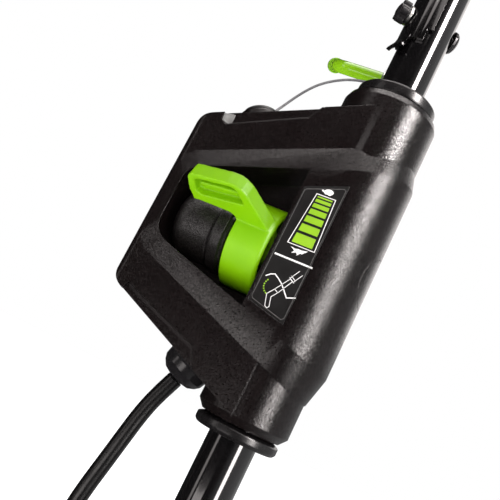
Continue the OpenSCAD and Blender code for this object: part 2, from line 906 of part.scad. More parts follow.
module board_parts() {
  color(dark) on_tube() {
    translate([-78, 10.6, 74]) cube([12, 6, 8]);
    translate([-62, 10.6, 72]) cube([10, 1.5, 10]);
    translate([-74, 10.6, 96]) cube([8, 4, 14]);
    translate([-56, 0, 98]) y_bar(4, 10.6, 18);
    for (k = [0 : 3])
      translate([-64 + 3 * k, 10.6, 88]) cube([1.6, 0.8, 3]);
  }
}

module wire_loom() {
  color([0.7, 0.1, 0.08]) {
    for (k = [0 : 2])
      swept_tube([
        [-54 + 2.4 * k, 0.6, 83.4], [-54 + 2.4 * k, 2.5, 82.6], [-54 + 2.4 * k, 4.6, 82.4],
        [-54 + 2.4 * k, 6.8, 82.6], [-54 + 2.4 * k, 8.8, 82.9]
      ], 1.2, 8, [1, 0, 0.2]);
  }
}

// ---- drive bail ------------------------------------------------------------------------------

module at_bail() {
  on_tube() translate([0, bail_back, bail_h]) children();
}

module bail_bracket() {
  color(dark) difference() {
    on_tube() union() {
      translate([-15, tube_r - 4, bail_h - 18]) cube([18, 16, 24.4]);
      translate([-15, 20, bail_h - 9]) cube([18, bail_back - 12, 15.4]);
    }
    cylinder(r = tube_r + fit, h = 600);
    at_bail() x_bar(bail_d / 2 + fit, -20, -3);
    for (dz = bail_screw_dz)
      translate([0, 0, housing_z + bail_h - 4 + dz]) {
        y_bar(1.75, 0, 60);
        y_bar(3.6, 19, 60);
      }
    on_tube() translate([-18, 22, bail_h - 16]) cube([12, 8, 7]);
  }
}

module bail_screws() {
  color(steel) on_tube() for (dz = bail_screw_dz)
    translate([0, 0, bail_h - 4 + dz]) {
      y_bar(1.7, 10, 19);
      y_bar(3.3, 19, 21.2);
    }
}

// the bail turns about its rod; past the bend its arm leaves backward and upward
module bail_rod() {
  r = bail_d / 2;
  color(green) at_bail() union() {
    x_bar(r, -bail_reach + bail_bend - 0.5, -4);
    translate([-bail_reach + bail_bend, 0, 0]) rotate([arm_rise, 0, 0])
      translate([0, bail_bend, 0]) rotate([0, 0, 180 + arm_turn])
        rotate_extrude(angle = 90 - arm_turn) translate([bail_bend, 0]) circle(r = r - 0.05, $fn = 48);
    arm_start() translate([0, -0.5, 0]) rotate([-90, 0, 0]) cylinder(r = r, h = arm_len + 0.3);
  }
}

// where the bend ends, with +Y along the arm
module arm_start() {
  translate([-bail_reach + bail_bend, 0, 0]) rotate([arm_rise, 0, 0])
    translate([0, bail_bend, 0]) rotate([0, 0, arm_turn]) translate([-bail_bend, 0, 0]) children();
}

module bail_tip() {
  color(black) at_bail() arm_start() translate([0, arm_len - 14, 0]) rotate([-90, 0, 0]) difference() {
    rotate_extrude() polygon([
      [0, 0], [5, 0], [5.3, 0.6], [5.3, 17], [4.6, 19], [3, 20.2], [0, 20.6]
    ]);
    translate([0, 0, -1]) cylinder(r = bail_d / 2, h = 15);
  }
}

module bail_spring() {
  color(steel) at_bail() translate([-23, 0, 0]) rotate([0, 90, 0])
    ring_spring(bail_d / 2 + 1.1, 0.6, 7.6, 5);
}

module bail_switch() {
  color(black) on_tube() translate([-17.5, 22.3, bail_h - 15.7]) cube([11, 7.4, 6.4]);
}

module sensor_lead() {
  color(dark) swept_tube(sensor_route, sensor_d, 8);
}

module lead_grommet() {
  color(black) on_tube() at_grommet() difference() {
    union() {
      translate([0, 0, -4]) cylinder(r = 2.5, h = 8);
      translate([0, 0, 0.1]) cylinder(r = 4.2, h = 2);
      translate([0, 0, 2]) cylinder(r1 = 3.4, r2 = 1.8, h = 6);
    }
    translate([0, 0, -6]) cylinder(r = 1, h = 20);
  }
}

handle_tube();
lower_plug();
inner_plug();
upper_tube();
upper_end_plug();
joint_bolt();
joint_washer();
joint_knob();
front_shell();
rear_shell();
top_collar();
bottom_collar();
label_plate();
hub_cover();
side_cap();
clamp_screw();
shell_screws();
gland_body();
gland_nut();
gland_seal();
power_lead();
lead_coil();
lead_tail();
lead_plug();
plug_pins();
coil_strap();
speed_lever();
lever_shaft();
left_bush();
right_bush();
pot_body();
pot_rotor();
detent_ball();
detent_spring();
button_cap();
button_collar();
button_spring();
start_switch();
circuit_board();
board_parts();
wire_loom();
bail_bracket();
bail_screws();
bail_rod();
bail_tip();
bail_spring();
bail_switch();
sensor_lead();
lead_grommet();
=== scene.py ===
"""Looks of the handle speed control: camera, lead, materials, printed marks, studio."""
import json
import math

import bmesh
import bpy
from mathutils import Matrix, Vector


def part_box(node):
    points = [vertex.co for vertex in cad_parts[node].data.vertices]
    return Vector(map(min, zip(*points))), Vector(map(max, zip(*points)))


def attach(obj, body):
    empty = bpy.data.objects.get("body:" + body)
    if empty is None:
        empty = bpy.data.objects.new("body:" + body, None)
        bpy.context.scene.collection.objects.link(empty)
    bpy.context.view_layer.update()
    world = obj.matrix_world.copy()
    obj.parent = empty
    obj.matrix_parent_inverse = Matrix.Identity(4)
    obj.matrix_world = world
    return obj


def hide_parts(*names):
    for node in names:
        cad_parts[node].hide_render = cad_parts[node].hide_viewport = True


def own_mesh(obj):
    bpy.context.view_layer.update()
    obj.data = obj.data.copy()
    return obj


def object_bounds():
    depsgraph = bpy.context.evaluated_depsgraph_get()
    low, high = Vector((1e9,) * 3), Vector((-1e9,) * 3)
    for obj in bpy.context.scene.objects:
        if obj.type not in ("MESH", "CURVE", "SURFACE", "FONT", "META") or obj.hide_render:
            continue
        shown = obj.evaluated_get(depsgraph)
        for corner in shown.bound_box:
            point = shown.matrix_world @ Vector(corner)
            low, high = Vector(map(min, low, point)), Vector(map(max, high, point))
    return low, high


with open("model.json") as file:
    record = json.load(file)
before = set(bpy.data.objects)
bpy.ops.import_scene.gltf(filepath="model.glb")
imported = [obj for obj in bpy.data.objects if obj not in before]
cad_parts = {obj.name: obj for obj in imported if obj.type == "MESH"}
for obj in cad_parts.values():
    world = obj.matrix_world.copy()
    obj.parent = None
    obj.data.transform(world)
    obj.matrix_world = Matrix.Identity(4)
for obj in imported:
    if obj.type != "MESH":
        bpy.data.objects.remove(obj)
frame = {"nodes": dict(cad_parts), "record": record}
cad_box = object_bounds()
scene = bpy.context.scene

MM = 0.001
HOUSING_Z = 0.320  # height of the housing's lower rim


# ---- camera --------------------------------------------------------------------------------

LENS = 48.86
SENSOR = 36.0
CLIP = (0.01, 50.0)
CAMERA_SPOT = (0.0735, -0.3398, HOUSING_Z + 0.0222)
CAMERA_AHEAD = Vector((-0.3033, 0.9347, 0.1851))
CAMERA_UP = Vector((-0.3803, -0.2968, 0.8759))


def make_camera():
    """The camera at the photograph's angle, rolled so that the tube leans to the right."""
    data = bpy.data.cameras.new("camera")
    data.lens = LENS
    data.sensor_width = SENSOR
    data.clip_start, data.clip_end = CLIP
    camera = bpy.data.objects.new("camera", data)
    scene.collection.objects.link(camera)
    ahead = CAMERA_AHEAD.normalized()
    right = ahead.cross(CAMERA_UP).normalized()
    up = right.cross(ahead).normalized()
    turn = Matrix((right, up, -ahead)).transposed().to_4x4()
    camera.matrix_world = Matrix.Translation(CAMERA_SPOT) @ turn
    scene.camera = camera


make_camera()


# ---- cords ---------------------------------------------------------------------------------

LEAD_D = 0.009
LEAD_SIDES = 7
THIN_LEAD_D = 0.0016
THIN_LEAD_SIDES = 4
ROUTE_STEPS = 4  # points per stretch of a route
COIL_R = 0.046
COIL_TURNS = 2
COIL_STEPS = 48  # points per turn
COIL_CENTRE = (-0.0645, 0.160)  # x and height of the coil's centre
# routes in mm: x, y, height above the housing's lower rim
LEAD_ROUTE = [
    (-41.3, 0, 11.4), (-44.6, 0, 3), (-47.4, 0, -5), (-49.7, 0, -14), (-51.6, 0, -24),
    (-53.4, 0, -34), (-55.2, 0, -44), (-57, 0, -54), (-58.4, 0, -64), (-59.3, 0, -76),
    (-58.5, 0, -85), (-56.1, -0.5, -94), (-52.1, -1.5, -103), (-46.8, -3, -110),
    (-39, -4.8, -118), (-31, -6.4, -126), (-25.7, -7.6, -133), (-21.7, -8.4, -142),
    (-19.2, -8.9, -151), (-18.5, -9, -160),
]
TAIL_ROUTE = [
    (-18.5, 9, -160), (-18.7, 9, -166), (-19.4, 9, -173), (-20.3, 9, -180), (-21, 9, -187),
    (-21, 9, -194),
]
SENSOR_ROUTE = [
    (-17.6, 26, 217.5), (-23, 27.4, 218.8), (-29, 28.8, 219.2), (-35, 29.6, 218.6),
    (-41, 30, 217), (-47, 30, 214), (-52, 30, 210.7), (-56.5, 30, 206.8), (-60.5, 30, 202),
    (-64, 29.6, 196.5), (-67, 28.8, 190.5), (-69.6, 27.2, 184), (-71.8, 24.6, 177.5),
    (-73.4, 21.4, 171.5), (-74.3, 18.4, 166.5), (-74.3, 16.3, 162.3), (-73.5, 15.6, 159.1),
    (-72.2, 15.6, 156.2), (-70.6, 15.6, 152.5),
]


def lifted(route):
    """A route's points in metres, in the frame."""
    return [Vector((x * MM, y * MM, h * MM + HOUSING_Z)) for x, y, h in route]


def smoothed(points, steps):
    """Points on the Catmull-Rom curve through the given points."""
    p = [2 * points[0] - points[1], *points, 2 * points[-1] - points[-2]]
    out = []
    for i in range(1, len(p) - 2):
        for k in range(steps):
            t = k / steps
            out.append(0.5 * (
                2 * p[i] + (p[i + 1] - p[i - 1]) * t
                + (2 * p[i - 1] - 5 * p[i] + 4 * p[i + 1] - p[i + 2]) * t * t
                + (3 * p[i] - p[i - 1] - 3 * p[i + 1] + p[i + 2]) * t ** 3
            ))
    return out + [points[-1]]


def tube_curve(name, points, diameter, sides):
    """A round cord along the points."""
    data = bpy.data.curves.new(name, "CURVE")
    data.dimensions = "3D"
    data.bevel_depth = 1.0  # each point's own radius sets the thickness
    data.bevel_resolution = sides
    data.use_fill_caps = True
    line = data.splines.new("POLY")
    line.points.add(len(points) - 1)
    for spot, p in zip(line.points, points):
        spot.co = (*p, 1)
        spot.radius = diameter / 2
    line.use_smooth = True
    piece = bpy.data.objects.new(name, data)
    scene.collection.objects.link(piece)
    return piece


def make_lead():
    """The power lead: out of the gland, down to the coil, round it, and on to the plug."""
    route = smoothed(lifted(LEAD_ROUTE), ROUTE_STEPS)
    coil = []
    steps = COIL_STEPS * COIL_TURNS
    for k in range(1, steps):
        turn = 2 * math.pi * COIL_TURNS * k / steps
        coil.append(Vector((
            COIL_CENTRE[0] + COIL_R * math.cos(turn),
            -LEAD_D + LEAD_D * k / steps * COIL_TURNS,
            COIL_CENTRE[1] - COIL_R * math.sin(turn),
        )))
    points = route + coil + smoothed(lifted(TAIL_ROUTE), ROUTE_STEPS)
    lead = tube_curve("lead", points, LEAD_D, LEAD_SIDES)
    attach(lead, "housing")
    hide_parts("power_lead", "lead_coil", "lead_tail")
    return lead


def make_sensor_lead():
    """The thin lead of the bail's switch, from the bracket to the grommet."""
    points = smoothed(lifted(SENSOR_ROUTE), ROUTE_STEPS)
    wire = tube_curve("thin_lead", points, THIN_LEAD_D, THIN_LEAD_SIDES)
    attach(wire, "housing")
    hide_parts("sensor_lead")
    return wire


lead = make_lead()
thin_lead = make_sensor_lead()


# ---- materials -----------------------------------------------------------------------------

COAT_ROUGHNESS = 0.06
BEVEL_SAMPLES = 4
CHIP_SCALE = 420.0
CHIP_DETAIL = 5.0
CHIP_ROUGH = 0.7
SMUDGE_RATIO = 2.3  # smudges in the gloss, finer than the mottling
# a worn edge with no tone of its own takes the light tone times the first, plus the second
WEAR_LIFT = (2.2, 0.03)
# how much paler than the light tone the painted glint dots are
PAINTED_GLINT_LIFT = 2.2
PIT_STRENGTH = 0.5
SCRATCH_SCALE = 90.0
SCRATCH_STRETCH = (9.0, 9.0, 0.35)
SCRATCH_DEPTH = 0.00003
# sockets of the RGBA mix node
MIX_A, MIX_B, MIX_OUT = 6, 7, 2


class Nodes:
    """A material's node tree, with a short way to add and join nodes."""

    def __init__(self, name):
        self.material = bpy.data.materials.new(name)
        self.material.use_nodes = True
        self.tree = self.material.node_tree
        self.tree.nodes.clear()
        self.out = self.add("ShaderNodeOutputMaterial")
        self.shader = self.add("ShaderNodeBsdfPrincipled")
        self.join(self.shader, "BSDF", self.out, "Surface")
        self.coords = self.add("ShaderNodeTexCoord")

    def add(self, kind, **values):
        node = self.tree.nodes.new(kind)
        for key, value in values.items():
            if hasattr(node, key):
                setattr(node, key, value)
            else:
                node.inputs[key.replace("_", " ")].default_value = value
        return node

    def join(self, a, a_out, b, b_in):
        self.tree.links.new(a.outputs[a_out], b.inputs[b_in])

    def set(self, **values):
        for key, value in values.items():
            self.shader.inputs[key.replace("_", " ")].default_value = value

    def noise(self, scale, detail=3.0, rough=0.55, stretch=None):
        node = self.add("ShaderNodeTexNoise", Scale=scale, Detail=detail, Roughness=rough)
        if stretch:
            mapping = self.add("ShaderNodeMapping", Scale=stretch)
            self.join(self.coords, "Object", mapping, "Vector")
            self.join(mapping, "Vector", node, "Vector")
        else:
            self.join(self.coords, "Object", node, "Vector")
        return node

    def spread(self, node, out, low, high, to_low=0.0, to_high=1.0):
        """An output's values from low to high, mapped to to_low to to_high and kept inside."""
        ranged = self.add("ShaderNodeMapRange")
        ranged.inputs["From Min"].default_value = low
        ranged.inputs["From Max"].default_value = high
        ranged.inputs["To Min"].default_value = to_low
        ranged.inputs["To Max"].default_value = to_high
        self.join(node, out, ranged, "Value")
        return ranged

    def math(self, operation, a, b):
        """An operation on two values; each is a number or a (node, output) pair."""
        node = self.add("ShaderNodeMath", operation=operation)
        for i, value in enumerate((a, b)):
            if isinstance(value, tuple):
                self.tree.links.new(value[0].outputs[value[1]], node.inputs[i])
            else:
                node.inputs[i].default_value = value
        return node

    def mix(self, factor, a, b):
        """A mix of two colours; each is an RGB triple or a (node, output) pair."""
        node = self.add("ShaderNodeMix", data_type="RGBA")
        slots = (node.inputs[MIX_A], node.inputs[MIX_B])
        for slot, value in zip(slots, (a, b)):
            if hasattr(value[0], "outputs"):
                self.tree.links.new(value[0].outputs[value[1]], slot)
            else:
                slot.default_value = (*value, 1.0)
        self.tree.links.new(factor[0].outputs[factor[1]], node.inputs[0])
        return node


def finish_of(
    name, dark, light, rough, rough_spread=0.08, metallic=0.0, specular=0.5, coat=0.0,
    grain=1400.0, grain_depth=0.0, grain_step=0.00012, cells=0.0, patch=55.0, wear=0.35,
    wear_tone=None, edge=0.0004, stretch=None, scratches=0.0, speckle=0.0, speckle_scale=1050.0,
):
    """One moulded, painted or metal finish: mottled colour, grain, worn edges, uneven gloss, and
    pale dots that are partly painted glints.
    """
    n = Nodes(name)
    n.set(
        Metallic=metallic, Specular_IOR_Level=specular, Coat_Weight=coat,
        Coat_Roughness=COAT_ROUGHNESS,
    )
    clouds = n.noise(patch, 4.0)
    tone = n.spread(clouds, "Fac", 0.35, 0.65)
    colour = n.mix((tone, "Result"), dark, light)
    bevel = n.add("ShaderNodeBevel", samples=BEVEL_SAMPLES, Radius=edge)
    shape = n.add("ShaderNodeNewGeometry")
    facing = n.add("ShaderNodeVectorMath", operation="DOT_PRODUCT")
    n.join(bevel, "Normal", facing, 0)
    n.join(shape, "Normal", facing, 1)
    rim = n.spread(facing, "Value", 0.999, 0.93)
    chips = n.noise(CHIP_SCALE, CHIP_DETAIL, CHIP_ROUGH)
    broken = n.spread(chips, "Fac", 0.42, 0.62)
    worn = n.math("MULTIPLY", (rim, "Result"), (broken, "Result"))
    faded = n.math("MULTIPLY", (worn, "Value"), wear)
    if wear_tone is None:
        times, plus = WEAR_LIFT
        wear_tone = tuple(min(1.0, c * times + plus) for c in light)
    worn_colour = n.mix((faded, "Value"), (colour, MIX_OUT), wear_tone)
    # speckle: fine pale dots in the colour, partly the grain's own random tone and partly painted
    # glints that stand in for the sparkle in highlights; the same dots vary the specular level
    if speckle:
        dots = n.noise(speckle_scale, 1.5, 0.5)
        dotted = n.spread(dots, "Fac", 0.4, 0.66)
        painted_glint_tone = tuple(c * PAINTED_GLINT_LIFT for c in light)
        strength = n.math("MULTIPLY", (dotted, "Result"), speckle)
        worn_colour = n.mix((strength, "Value"), (worn_colour, MIX_OUT), painted_glint_tone)
        shine = n.spread(
            dots, "Fac", 0.34, 0.66, specular * (1 - speckle), specular * (1 + speckle)
        )
        n.join(shine, "Result", n.shader, "Specular IOR Level")
    n.join(worn_colour, MIX_OUT, n.shader, "Base Color")
    smudge = n.noise(patch * SMUDGE_RATIO, 5.0, 0.6)
    gloss = n.spread(smudge, "Fac", 0.3, 0.7, rough - rough_spread, rough + rough_spread)
    n.join(gloss, "Result", n.shader, "Roughness")
    normal = bevel
    if grain_depth:
        fine = n.noise(grain, 2.0, 0.6, stretch)
        bump = n.add("ShaderNodeBump", Strength=grain_depth, Distance=grain_step)
        n.join(fine, "Fac", bump, "Height")
        n.join(normal, "Normal", bump, "Normal")
        normal = bump
    if cells:
        spots = n.add("ShaderNodeTexVoronoi", Scale=cells, feature="SMOOTH_F1")
        n.join(n.coords, "Object", spots, "Vector")
        pits = n.add("ShaderNodeBump", Strength=PIT_STRENGTH, Distance=grain_step)
        n.join(spots, "Distance", pits, "Height")
        n.join(normal, "Normal", pits, "Normal")
        normal = pits
    if scratches:
        lines = n.noise(SCRATCH_SCALE, 6.0, 0.75, SCRATCH_STRETCH)
        marks = n.spread(lines, "Fac", 0.62, 0.7)
        cut = n.add("ShaderNodeBump", Strength=scratches, Distance=SCRATCH_DEPTH)
        n.join(marks, "Result", cut, "Height")
        n.join(normal, "Normal", cut, "Normal")
        normal = cut
    n.join(normal, "Normal", n.shader, "Normal")
    return n.material


FINISHES = {
    "housing": finish_of(
        "housing_spark_texture", (0.0028, 0.0019, 0.0019), (0.0042, 0.0029, 0.0029), 0.18, 0.03,
        specular=0.46, grain=1900, grain_depth=0.6, grain_step=0.00013, cells=2300, wear=0.3,
        speckle=0.8, speckle_scale=2050.0, edge=0.0005,
    ),
    "cover": finish_of(
        "cover_texture", (0.004, 0.0032, 0.0031), (0.006, 0.005, 0.0048), 0.33, 0.05,
        specular=0.75, grain=1600, grain_depth=0.8, grain_step=0.0002, cells=1900, wear=0.25,
        speckle=0.6, speckle_scale=1800.0, edge=0.0004,
    ),
    # painted light: several times lighter than the housing, standing in for the light that the
    # step slopes catch
    "step_edge": finish_of(
        "step_slope_painted_light", (0.013, 0.011, 0.011), (0.020, 0.017, 0.017), 0.22, 0.04,
        specular=0.45, grain=1700, grain_depth=0.6, grain_step=0.00016, wear=0.3, edge=0.0004,
    ),
    # painted glare: light grey colour and lighter edges standing in for the lamps' glare on the
    # end of the upper step
    "patch": finish_of(
        "painted_glare_patch", (0.05, 0.05, 0.049), (0.34, 0.34, 0.33), 0.5, 0.1, grain=900,
        grain_depth=0.8, grain_step=0.0002, wear=0.5, wear_tone=(0.6, 0.6, 0.59),
    ),
    "collar": finish_of(
        "collar_smooth", (0.005, 0.0045, 0.0048), (0.008, 0.0072, 0.0076), 0.27, 0.06,
        grain=900, grain_depth=0.12, edge=0.0005,
    ),
    "tube_paint": finish_of(
        "tube_gloss_paint", (0.0022, 0.0019, 0.0021), (0.0034, 0.003, 0.0033), 0.11, 0.02,
        coat=0.9, grain=260, grain_depth=0.05, grain_step=0.0003, wear=0.12,
        wear_tone=(0.12, 0.12, 0.12), edge=0.0003, scratches=0.12,
    ),
    "black_plastic": finish_of(
        "black_plastic_matte", (0.012, 0.0115, 0.012), (0.02, 0.019, 0.02), 0.45, 0.08,
        grain=1200, grain_depth=0.25, wear=0.2,
    ),
    "gloss_black": finish_of(
        "black_plastic_gloss", (0.007, 0.0065, 0.007), (0.012, 0.011, 0.012), 0.2, 0.06,
        grain=500, grain_depth=0.08, wear=0.2,
    ),
    "black_zinc": finish_of(
        "black_zinc_bolt", (0.012, 0.012, 0.013), (0.03, 0.03, 0.032), 0.24, 0.08,
        metallic=0.5, grain=1100, grain_depth=0.15, wear=0.5, wear_tone=(0.35, 0.34, 0.32),
    ),
    "zinc": finish_of(
        "bright_zinc", (0.42, 0.42, 0.40), (0.58, 0.58, 0.56), 0.3, 0.1, metallic=1.0,
        grain=900, grain_depth=0.2, wear=0.4, wear_tone=(0.75, 0.75, 0.74),
    ),
    "label": finish_of(
        "label_film", (0.0055, 0.005, 0.0052), (0.0075, 0.0068, 0.007), 0.38, 0.05,
        grain=1900, grain_depth=0.12, wear=0.1, edge=0.0002,
    ),
    "seal_rubber": finish_of(
        "seal_rubber", (0.013, 0.013, 0.013), (0.024, 0.023, 0.023), 0.6, 0.1,
        grain=700, grain_depth=0.3, wear=0.3,
    ),
    "lead_jacket": finish_of(
        "lead_jacket", (0.0026, 0.0024, 0.0025), (0.004, 0.0037, 0.0039), 0.27, 0.04,
        grain=600, grain_depth=0.08, wear=0.0,
    ),
    "contact_brass": finish_of(
        "brass", (0.55, 0.36, 0.12), (0.78, 0.55, 0.25), 0.3, 0.1, metallic=1.0,
        grain=700, grain_depth=0.2,
    ),
    "strap": finish_of(
        "strap_weave", (0.012, 0.012, 0.012), (0.03, 0.03, 0.03), 0.75, 0.1,
        grain=800, grain_depth=0.9, grain_step=0.0004, stretch=(1.0, 1.0, 3.0),
    ),
    "green_plastic": finish_of(
        "lime_plastic", (0.170, 0.420, 0.001), (0.195, 0.460, 0.0012), 0.34, 0.05,
        specular=0.22, grain=1300, grain_depth=0.16, wear=0.25,
        wear_tone=(0.55, 0.86, 0.12), edge=0.0006,
    ),
    "green_paint": finish_of(
        "green_gloss_paint", (0.19, 0.43, 0.006), (0.24, 0.52, 0.009), 0.14, 0.04, coat=0.4,
        grain=300, grain_depth=0.06, wear=0.3, wear_tone=(0.4, 0.7, 0.15),
    ),
    "steel": finish_of(
        "steel_turned", (0.45, 0.45, 0.46), (0.62, 0.62, 0.63), 0.28, 0.08, metallic=1.0,
        grain=600, grain_depth=0.3, stretch=(12.0, 1.0, 1.0),
    ),
    "board": finish_of(
        "board_green", (0.01, 0.09, 0.035), (0.02, 0.14, 0.06), 0.35, 0.1, grain=900,
        grain_depth=0.2,
    ),
    "wire_red": finish_of(
        "wire_red", (0.35, 0.02, 0.015), (0.5, 0.04, 0.03), 0.4, 0.1, grain=900,
        grain_depth=0.1,
    ),
    "grip_rubber": finish_of(
        "grip_vinyl_green", (0.19, 0.43, 0.006), (0.24, 0.52, 0.009), 0.3, 0.06,
        grain=900, grain_depth=0.2,
    ),
    "thin_lead": finish_of(
        "thin_lead_grey", (0.10, 0.10, 0.11), (0.2, 0.2, 0.21), 0.35, 0.1, grain=1200,
        grain_depth=0.1,
    ),
    "print_white": finish_of(
        "print_white", (0.80, 0.80, 0.80), (0.92, 0.92, 0.92), 0.45, 0.08, grain=1600,
        grain_depth=0.1, wear=0.1,
    ),
    "print_green": finish_of(
        "print_green", (0.22, 0.44, 0.003), (0.26, 0.50, 0.004), 0.4, 0.08, grain=1600,
        grain_depth=0.1, wear=0.1,
    ),
    "print_line": finish_of(
        "print_line", (0.09, 0.085, 0.085), (0.15, 0.145, 0.145), 0.3, 0.08, grain=1600,
        grain_depth=0.1, wear=0.1,
    ),
}


# ---- finishes and rounding of the CAD nodes --------------------------------------------------

OWN_FINISH = {"hub_cover": "cover"}  # the other nodes take their material slot's finish
SOFT_EDGES = {  # width of each node's rounded edges
    "front_shell": 0.0007, "rear_shell": 0.0007, "side_cap": 0.0007, "top_collar": 0.0007,
    "bottom_collar": 0.0007, "joint_knob": 0.0006, "button_cap": 0.0006,
    "button_collar": 0.0005, "upper_tube": 0.0005, "gland_nut": 0.0005,
}
MELTED = ("speed_lever", "hub_cover")  # rounded all over
SMOOTH_ANGLE = math.radians(32)
SOFT_ANGLE = math.radians(12.5)  # gentler creases stay as smooth curves
FLAT_ANGLE = math.radians(0.5)
WELD_GAP = 0.000002
SOFT_SEGMENTS = 3
NORMAL_WEIGHT = 50
MELT_VOXEL = 0.0004
MELT_FACTOR = 0.5
MELT_ROUNDS = 14


def soften(node, width):
    """Rounds a node's sharp edges with modifiers, after joining its split faces."""
    weld = node.modifiers.new("weld", "WELD")
    weld.merge_threshold = WELD_GAP
    flat = node.modifiers.new("flat", "DECIMATE")
    flat.decimate_type = "DISSOLVE"
    flat.angle_limit = FLAT_ANGLE
    round_off = node.modifiers.new("round", "BEVEL")
    round_off.width = width
    round_off.segments = SOFT_SEGMENTS
    round_off.limit_method = "ANGLE"
    round_off.angle_limit = SOFT_ANGLE
    normals = node.modifiers.new("normals", "WEIGHTED_NORMAL")
    normals.keep_sharp = True
    normals.weight = NORMAL_WEIGHT


def melt(node):
    """Rounds a moulded piece all over: an even fine mesh, then relaxed."""
    even = node.modifiers.new("even", "REMESH")
    even.mode = "VOXEL"
    even.voxel_size = MELT_VOXEL
    even.use_smooth_shade = True
    relax = node.modifiers.new("relax", "SMOOTH")
    relax.factor = MELT_FACTOR
    relax.iterations = MELT_ROUNDS


def dress_frame():
    """Gives every CAD node its finish and rounds its shading."""
    slots = {p["node"]: p["material_slot"] for p in frame["record"]["subparts"]}
    for name, node in frame["nodes"].items():
        node.data.materials.clear()
        node.data.materials.append(FINISHES[OWN_FINISH.get(name, slots[name])])
        for face in node.data.polygons:
            face.material_index = 0
        node.data.shade_smooth()
        if name in MELTED:
            melt(node)
        elif name in SOFT_EDGES:
            soften(node, SOFT_EDGES[name])
        else:
            node.data.set_sharp_from_angle(angle=SMOOTH_ANGLE)


dress_frame()
lead.data.materials.append(FINISHES["lead_jacket"])
thin_lead.data.materials.append(FINISHES["thin_lead"])


# ---- printed marks on the label --------------------------------------------------------------

PRINT_DEPTH = 0.00005
MITRE_FLOOR = 0.4  # keeps a sharp corner's mitre short

# outlines and lines in mm: x, height above the housing's lower rim
GAUGE = [(-9.68, 123.1), (0.34, 123.4), (2.13, 95.2), (-12.1, 94.9)]
# start and end of each bar, as parts of the gauge's height
BAR_SPANS = [
    (0.03, 0.058), (0.085, 0.145), (0.175, 0.25), (0.285, 0.385), (0.425, 0.545), (0.59, 0.73),
    (0.78, 0.965),
]
BAR_SIDES = (0.11, 0.88)
SLOW_MARK = [
    (-8.3, 125.9), (-7.6, 126.3), (-6.9, 126.0), (-6.3, 126.8), (-5.1, 127.4), (-3.6, 127.5),
    (-2.5, 127.0), (-2.0, 126.2), (-2.4, 125.3), (-3.0, 124.6), (-3.9, 124.3), (-4.6, 124.6),
    (-5.7, 124.4), (-6.3, 124.7), (-6.9, 125.2), (-7.7, 125.3),
]
FAST_MARK = [
    (-9.9, 93.5), (-8.6, 93.5), (-7.4, 93.2), (-5.6, 93.7), (-4.0, 93.6), (-2.6, 93.9),
    (-0.8, 94.3), (-1.4, 93.5), (-2.2, 92.9), (-3.0, 91.8), (-3.7, 92.0), (-4.6, 91.0),
    (-5.3, 90.2), (-5.2, 91.1), (-6.2, 91.6), (-7.3, 90.9), (-8.2, 90.8), (-7.2, 92.0),
    (-8.1, 92.8),
]
DIVIDER = [(-15.4, 87.3), (4.7, 87.7)]
RIM = [
    (-16.2, 122.6), (-15.3, 123.6), (1.9, 130.3), (3.0, 129.6), (3.0, 60.2), (1.8, 59.0),
    (-15.2, 62.8), (-16.2, 63.9),
]
# each line of the handle diagram with its width: a bent bail crossing a tube with its sleeve
DRAWING = [
    ([(-14.4, 75.3), (-12.6, 77.0), (-10.5, 77.9), (-8.2, 76.6), (-5.5, 74.8), (-2.9, 72.2),
      (-0.4, 69.5), (3.8, 71.3)], 0.55),
    ([(-0.2, 83.9), (-2.9, 79.0)], 0.35),
    ([(2.0, 82.6), (-0.7, 77.7)], 0.35),
    ([(-3.4, 79.2), (-0.3, 77.4)], 0.4),
    ([(-2.9, 80.3), (0.2, 78.5)], 0.35),
    ([(-2.7, 78.6), (-7.4, 71.1), (-10.0, 67.6), (-8.2, 61.9), (-6.9, 61.3), (-6.1, 62.3),
      (-7.4, 67.0), (-5.2, 70.1), (-1.2, 77.8)], 0.35),
    ([(-7.6, 71.3), (-5.1, 69.9)], 0.35),
]
GAUGE_LINE = 0.42
DIVIDER_LINE = 0.9
RIM_LINE = 0.28
# the dashed arc beside the diagram; angles in degrees
ARC_CENTRE = (-8.9, 71.6)
ARC_R = 4.3
ARC_LINE = 0.7
ARC_DASHES = 7
ARC_START = 142
ARC_STEP = 16.5
ARC_DASH = 10


def place(name, mesh, finish, body):
    """A new piece with its finish, riding on its body."""
    piece = bpy.data.objects.new(name, mesh)
    scene.collection.objects.link(piece)
    piece.data.materials.append(FINISHES[finish])
    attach(piece, body)
    return piece


def printed(name, shapes, finish, front):
    """Thin raised ink on a face that looks along -Y, as prisms over the outlines."""
    bm = bmesh.new()
    for outline in shapes:
        low, high = (
            [bm.verts.new((x * MM, y, h * MM + HOUSING_Z)) for x, h in outline]
            for y in (front + PRINT_DEPTH, front - PRINT_DEPTH)
        )
        bm.faces.new(high)
        bm.faces.new(list(reversed(low)))
        for i in range(len(outline)):
            j = (i + 1) % len(outline)
            bm.faces.new((low[i], low[j], high[j], high[i]))
    bmesh.ops.recalc_face_normals(bm, faces=bm.faces)
    mesh = bpy.data.meshes.new(name)
    bm.to_mesh(mesh)
    bm.free()
    place(name, mesh, finish, "housing")


